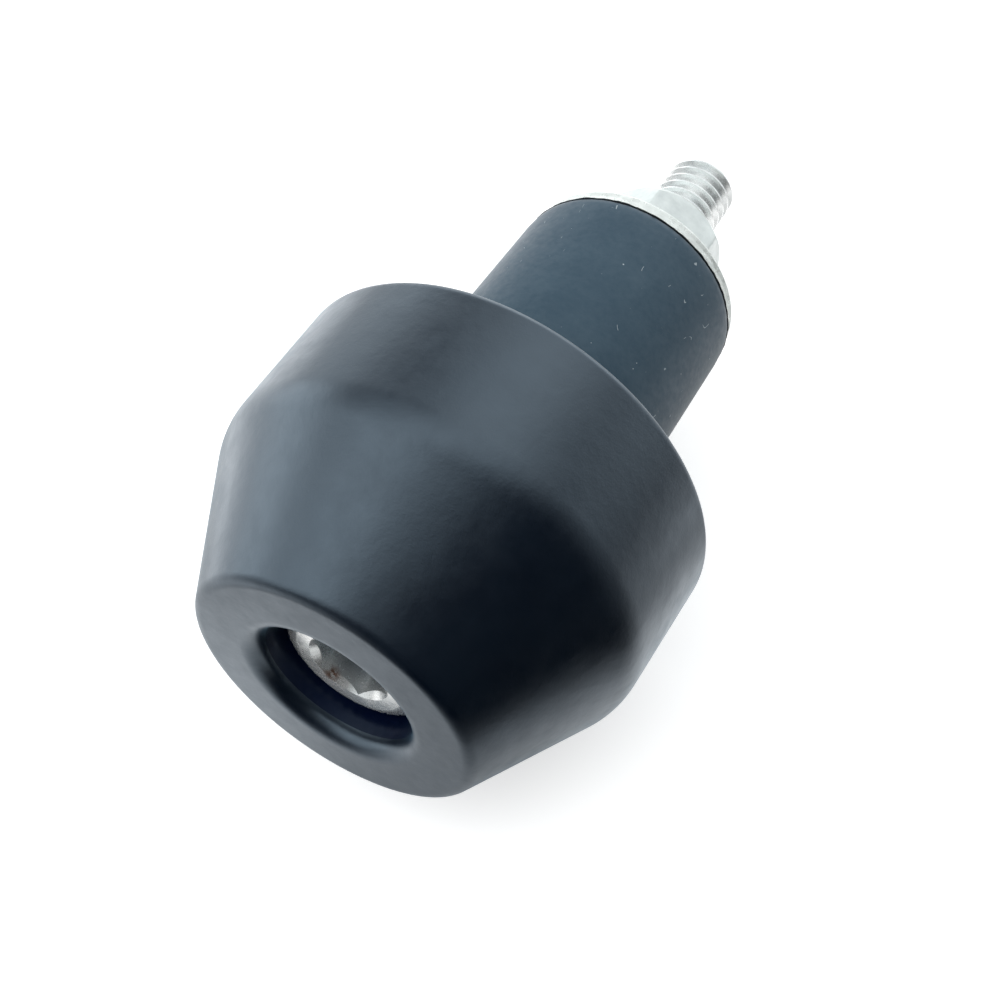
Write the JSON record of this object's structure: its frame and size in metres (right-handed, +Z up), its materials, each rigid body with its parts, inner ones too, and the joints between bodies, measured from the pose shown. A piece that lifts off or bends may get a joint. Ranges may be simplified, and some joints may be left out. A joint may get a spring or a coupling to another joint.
{
  "type": "bar end weight",
  "caption": "Round tapered weight for the end of a handlebar, with a recessed socket-head screw that clamps a rubber expansion sleeve inside the bar.",
  "frame": {"origin": "centre of the weight's rear face, where the handlebar's end butts", "axes": "+Y along the axis, out of the weight and into the handlebar; -Y is the nose; +Z up, +X to the right seen from the nose side"},
  "size_m": [0.032, 0.0566, 0.032],
  "materials": {
    "black_coating": "satin black coating with a fine grain",
    "screw_zinc": "bright zinc plating",
    "sleeve_rubber": "matte moulded rubber with dust",
    "washer_zinc": "bright zinc plating, sheared rim",
    "spring_zinc": "zinc plating",
    "nut_zinc": "pale zinc plating"
  },
  "bodies": {
    "root": {"weight_body": "black_coating", "clamp_screw": "screw_zinc", "rubber_sleeve": "sleeve_rubber", "flat_washer": "washer_zinc", "spring_washer": "spring_zinc", "hex_nut": "nut_zinc"}
  },
  "joints": []
}
